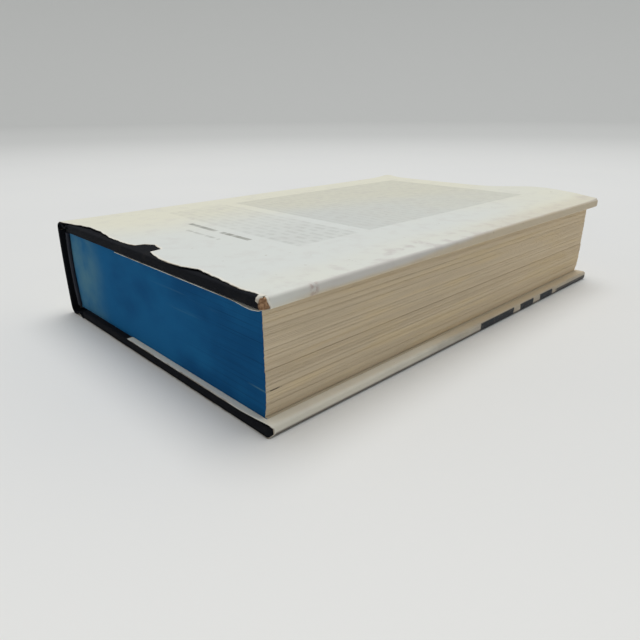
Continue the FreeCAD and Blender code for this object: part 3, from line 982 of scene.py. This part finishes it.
paper = endpaper("endpaper", bends=False)
strip_paper = endpaper("endpaper_bent", bends=True)
strip_front, strip_back = (
    strip(name, path, leaves_low.y, leaves_high.y, STRIP_ROWS, ENDPAPER, strip_paper) for name, path in (
        ("hinge_paper_front", hinge_strip_path()), ("hinge_paper_back", as_back(hinge_strip_path()))))
print("endpapers through the hinges:", len(strip_front.data.polygons), "faces in each strip")

# %% [markdown]
# The bands at head and tail are a cord on a tape, wrapped in thread. Each turn of the thread is
# one small ring, and Geometry Nodes set the rings along the curve of the spine.

# %% Thread round the bands
BAND_RADIUS = 0.8 * MM
BAND_SEAT = 0.2 * MM
BAND_MARGIN = 0.5 * MM
THREAD = 0.17 * MM
THREAD_TURNS = 92
THREAD_DARK = (0.030, 0.035, 0.055)
TAPE_DARK = (0.040, 0.038, 0.040)


def band_thread(name, colour):
    finish = Finish(name, roughness=0.6, specular=0.3)
    x, y, z = finish.axes()
    ply = (x + y + z).wave(0.22)
    faded = tuple(0.6 * part + 0.05 for part in colour)
    return finish.done(finish.mixed(finish.clouds(2.0, 3.0) * 0.4, colour, faded), ply, 0.03, 0.6)


def wrapped_band(name, bead_y):
    """Rings of thread along the bead of one band."""
    rounding = hinge_x - leaves_low.x
    half = (leaves_high.z - leaves_low.z) / 2
    spine_radius = (rounding ** 2 + half ** 2) / (2 * rounding)
    angle = math.asin(((top_z - 2 * block_depth) / 2 - BAND_MARGIN) / spine_radius)
    tree = Shape(name, [
        ("Turns", "Int", THREAD_TURNS),
        ("Spine radius", "Float", spine_radius + BAND_SEAT - BAND_RADIUS),
        ("Start angle", "Float", math.pi - angle), ("Sweep", "Float", 2 * angle),
        ("Place", "Vector", (leaves_low.x + spine_radius, bead_y, top_z / 2)),
        ("Ring", "Float", BAND_RADIUS), ("Thread", "Float", THREAD)])
    arc = tree.node("GeometryNodeCurveArc", {
        "Resolution": 64, "Radius": tree.size("Spine radius"),
        "Start Angle": tree.size("Start angle"), "Sweep Angle": tree.size("Sweep")}, mode="RADIUS")
    upright = tree.node("GeometryNodeTransform", {
        "Geometry": arc, "Translation": tree.size("Place"), "Rotation": (math.pi / 2, 0.0, 0.0)})
    points = tree.node("GeometryNodeResampleCurve",
                       {"Curve": upright, "Count": tree.size("Turns")})
    ring, round_thread = (
        tree.node("GeometryNodeCurvePrimitiveCircle", {"Resolution": sides, "Radius": radius})
        for radius, sides in ((tree.size("Ring"), 16), (tree.size("Thread"), 6)))
    loop = tree.node("GeometryNodeCurveToMesh", {"Curve": ring, "Profile Curve": round_thread})
    facing = tree.node("FunctionNodeAlignRotationToVector",
                       {"Vector": tree.node("GeometryNodeInputTangent")}, axis="Z")
    turns = tree.node("GeometryNodeInstanceOnPoints",
                      {"Points": points, "Instance": loop, "Rotation": facing})
    return tree.finished(name, turns, band_thread("wrapped_thread", THREAD_DARK))


head_thread = wrapped_band("head_band_thread", leaves_low.y - BAND_RADIUS)
tail_thread = wrapped_band("tail_band_thread", leaves_high.y + BAND_RADIUS)
print("thread:", len(head_thread.data.polygons), "faces on each band")

# %% [markdown]
# What is left shows only when a cover is open or from the ends of the spine: the gauze and the
# paper that are glued over the folds of the leaves, the card that stiffens the spine of the case,
# and the grey boards. Each keeps its solid and gets the look of its own stuff.

# %% Finishes of the hidden pieces
def mull_gauze():
    finish = Finish("mull_gauze", roughness=0.9, specular=0.1)
    x, y, z = finish.axes()
    threads = y.wave(1.1).most((x + z).wave(1.1))
    gauze = finish.mixed(threads.rises(-0.1, 0.7), (0.36, 0.29, 0.19), (0.62, 0.58, 0.48))
    return finish.done(gauze, threads, 0.15, 0.8)


def lining_paper():
    finish = Finish("lining_paper", roughness=0.85, specular=0.15)
    fibres = finish.clouds(3.0, 4.0, (1.0, 0.15, 1.0)) + finish.clouds(14.0, 2.0) * 0.5
    brown = finish.mixed(fibres.rises(0.4, 1.1), (0.36, 0.25, 0.14), (0.27, 0.17, 0.09))
    return finish.done(brown, fibres, 0.08, 0.5)


def card(name, light, dark):
    finish = Finish(name, roughness=0.9, specular=0.12)
    pulp = finish.clouds(1.1, 5.0) * 0.6 + finish.clouds(9.0, 3.0) * 0.5
    flecks = finish.clouds(0.9, 1.0, (1.0, 0.3, 1.0)).rises(0.68, 0.76)
    colour = finish.mixed(pulp.rises(0.35, 0.80), light, dark)
    return finish.done(finish.mixed(flecks * 0.6, colour, (0.07, 0.055, 0.04)), pulp, 0.15, 0.6)


finishes = {
    "front_cloth": cloth, "back_cloth": cloth,
    "front_pastedown": paper, "back_pastedown": paper, "front_flyleaf": paper, "back_flyleaf": paper,
    "mull": mull_gauze(), "spine_lining": lining_paper(),
    "spine_inlay": card("spine_card", (0.33, 0.27, 0.19), (0.22, 0.17, 0.12)),
    "front_board": card("greyboard", (0.24, 0.21, 0.175), (0.155, 0.135, 0.11))}
finishes["back_board"] = finishes["front_board"]
finishes["head_band"] = finishes["tail_band"] = band_thread("band_tape", TAPE_DARK)
for node, material in finishes.items():
    materials = frame["nodes"][node].data.materials
    materials.clear()
    materials.append(material)
print("finishes on", len(finishes), "solids")

# %% [markdown]
# The book lies on white paper that sweeps up behind it at a distance, so no horizon shows. A
# broad soft lamp high above makes the top about twice as bright as the sides, which are lit by
# the pale floor and a dim even sky. The floor's colour holds painted light towards the camera
# and painted shade that darkens it with distance.

# %% Floor
FLOOR_WHITE = (0.775, 0.78, 0.765)
FLOOR_SHADE = (0.74, 0.75, 0.745)
# Painted light: the floor is lighter towards the camera.
FLOOR_PAINTED_LIGHT = (0.84, 0.84, 0.82)
# Painted shade: the floor and the sweep are darker far off.
FLOOR_FAR_PAINTED_SHADE = (0.565, 0.575, 0.565)
SWEEP_START = 3.4
SWEEP_RADIUS = 1.4
SWEEP_SEGMENTS = 72


def sweep_profile():
    """Flat floor, then a quarter round: (distance, height) pairs."""
    profile = [(distance, 0.0) for distance in (0.25, 0.6, 1.2, 2.2, SWEEP_START)]
    for step in range(1, 14):
        a = math.radians(6 * step)
        profile.append((SWEEP_START + SWEEP_RADIUS * math.sin(a), SWEEP_RADIUS * (1 - math.cos(a))))
    return profile


def floor():
    turns = [2 * math.pi * step / SWEEP_SEGMENTS for step in range(SWEEP_SEGMENTS)]
    vertices = [(0.0, 0.0, 0.0)]
    for far, height in sweep_profile():
        vertices += [(far * math.cos(a), far * math.sin(a), height) for a in turns]
    faces = [(0, 1 + step, 1 + (step + 1) % SWEEP_SEGMENTS) for step in range(SWEEP_SEGMENTS)]
    for start in range(1, len(vertices) - SWEEP_SEGMENTS, SWEEP_SEGMENTS):
        for step in range(SWEEP_SEGMENTS):
            here = start + step
            after = start + (step + 1) % SWEEP_SEGMENTS
            faces.append((here, here + SWEEP_SEGMENTS, after + SWEEP_SEGMENTS, after))
    mesh = bpy.data.meshes.new("floor")
    mesh.from_pydata(vertices, [], faces)
    mesh.shade_smooth()
    mesh.materials.append(floor_paper())
    placed("floor", mesh)


def floor_paper():
    finish = Finish("floor_paper", roughness=0.8, specular=0.1)
    x, y, z = finish.axes()
    near_book = finish.mixed(finish.clouds(160.0, 3.0), FLOOR_WHITE, FLOOR_SHADE)
    # Painted light: the floor grows lighter towards the camera.
    near_book = finish.mixed((x - y).rises(120.0, 420.0), near_book, FLOOR_PAINTED_LIGHT)
    squared = x * x + y * y
    distance = squared.maths("SQRT", squared)
    # Painted shade: the floor and the sweep grow darker with distance.
    finish.set("Base Color", finish.mixed(distance.rises(380.0, 1900.0), near_book, FLOOR_FAR_PAINTED_SHADE))
    return finish.material


# %% Light
SKY_STRENGTH = 0.36
LAMP_PLACE = Vector((-0.6, 1.0, 6.0))
LAMP_SIZE = 5.0
LAMP_POWER = 254.0


def lamp():
    light = bpy.data.lights.new("overhead", "AREA")
    light.shape = "DISK"
    light.size = LAMP_SIZE
    light.energy = LAMP_POWER
    made = placed("overhead", light)
    made.location = LAMP_PLACE
    made.rotation_euler = (-LAMP_PLACE).to_track_quat("-Z", "Y").to_euler()


def sky():
    made = bpy.data.worlds.new("soft_room")
    bpy.context.scene.world = made
    made.use_nodes = True
    background = made.node_tree.nodes["Background"]
    background.inputs["Color"].default_value = (1.0, 1.0, 1.0, 1.0)
    background.inputs["Strength"].default_value = SKY_STRENGTH


# %% Camera
CAMERA_PLACE = Vector((196.0, -207.35, 97.3)) * MM
CAMERA_AZIMUTH = 46.51
CAMERA_ELEVATION = 21.605
CAMERA_ROLL = -0.506
CAMERA_LENS = 30.373


def camera():
    data = bpy.data.cameras.new("camera")
    data.lens = CAMERA_LENS
    data.sensor_width = 36.0
    data.clip_start = 0.01
    made = placed("camera", data)
    a, e, r = (math.radians(angle) for angle in (CAMERA_AZIMUTH, CAMERA_ELEVATION, CAMERA_ROLL))
    back = Vector((math.sin(a) * math.cos(e), -math.cos(a) * math.cos(e), math.sin(e)))
    level = Vector((math.cos(a), math.sin(a), 0.0))
    right = level * math.cos(r) + back.cross(level) * math.sin(r)
    turned = Matrix((right, back.cross(right), back)).transposed()
    made.matrix_world = Matrix.Translation(CAMERA_PLACE) @ turned.to_4x4()
    bpy.context.scene.camera = made


floor()
sky()
lamp()
camera()
bpy.context.scene.view_settings.view_transform = "Standard"
print("camera at", [round(value, 3) for value in bpy.context.scene.camera.location])

# %% [markdown]
# The leaves, bands and turn-ins ride on the book block. The halves of the jacket, the cloth of
# the joints and the endpapers' strips only have their places baked into their meshes: nothing
# blends them from the crown of the spine to the edge of the board or over the depth of a fold.

# %% The book block's pieces go with it
BEND_START = Vector((crown_x + 0.6 * MM, 0.0, 8.0 * MM))
BEND_END = Vector((board_x, 0.0, 0.0))
FOLD_START = Vector((hinge_x, 0.0, cover_depth + ENDPAPER / 2))
FOLD_END = Vector((hinge_x, 0.0, cover_depth - PAPER - ENDPAPER / 2))


def high(place):
    """The same place on the back cover's side."""
    return Vector((place.x, place.y, top_z - place.z))


for piece in (leaf_stack, turn_ins, head_thread, tail_thread):
    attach(piece, "book_block")
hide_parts("text_block")
for half, joint, folded, cover, at in ((front_panel, joint_front, strip_front, "front_cover", Vector),
                                       (back_panel, joint_back, strip_back, "back_cover", high)):
    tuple(at(BEND_START))
    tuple(at(BEND_END))
    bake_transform(half)
    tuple(at(BEND_START))
    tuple(at(BEND_END))
    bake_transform(joint)
    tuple(at(FOLD_START))
    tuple(at(FOLD_END))
    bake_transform(folded)
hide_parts("jacket_back", "jacket_spine")
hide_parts("jacket_front")
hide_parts("spine_cloth")
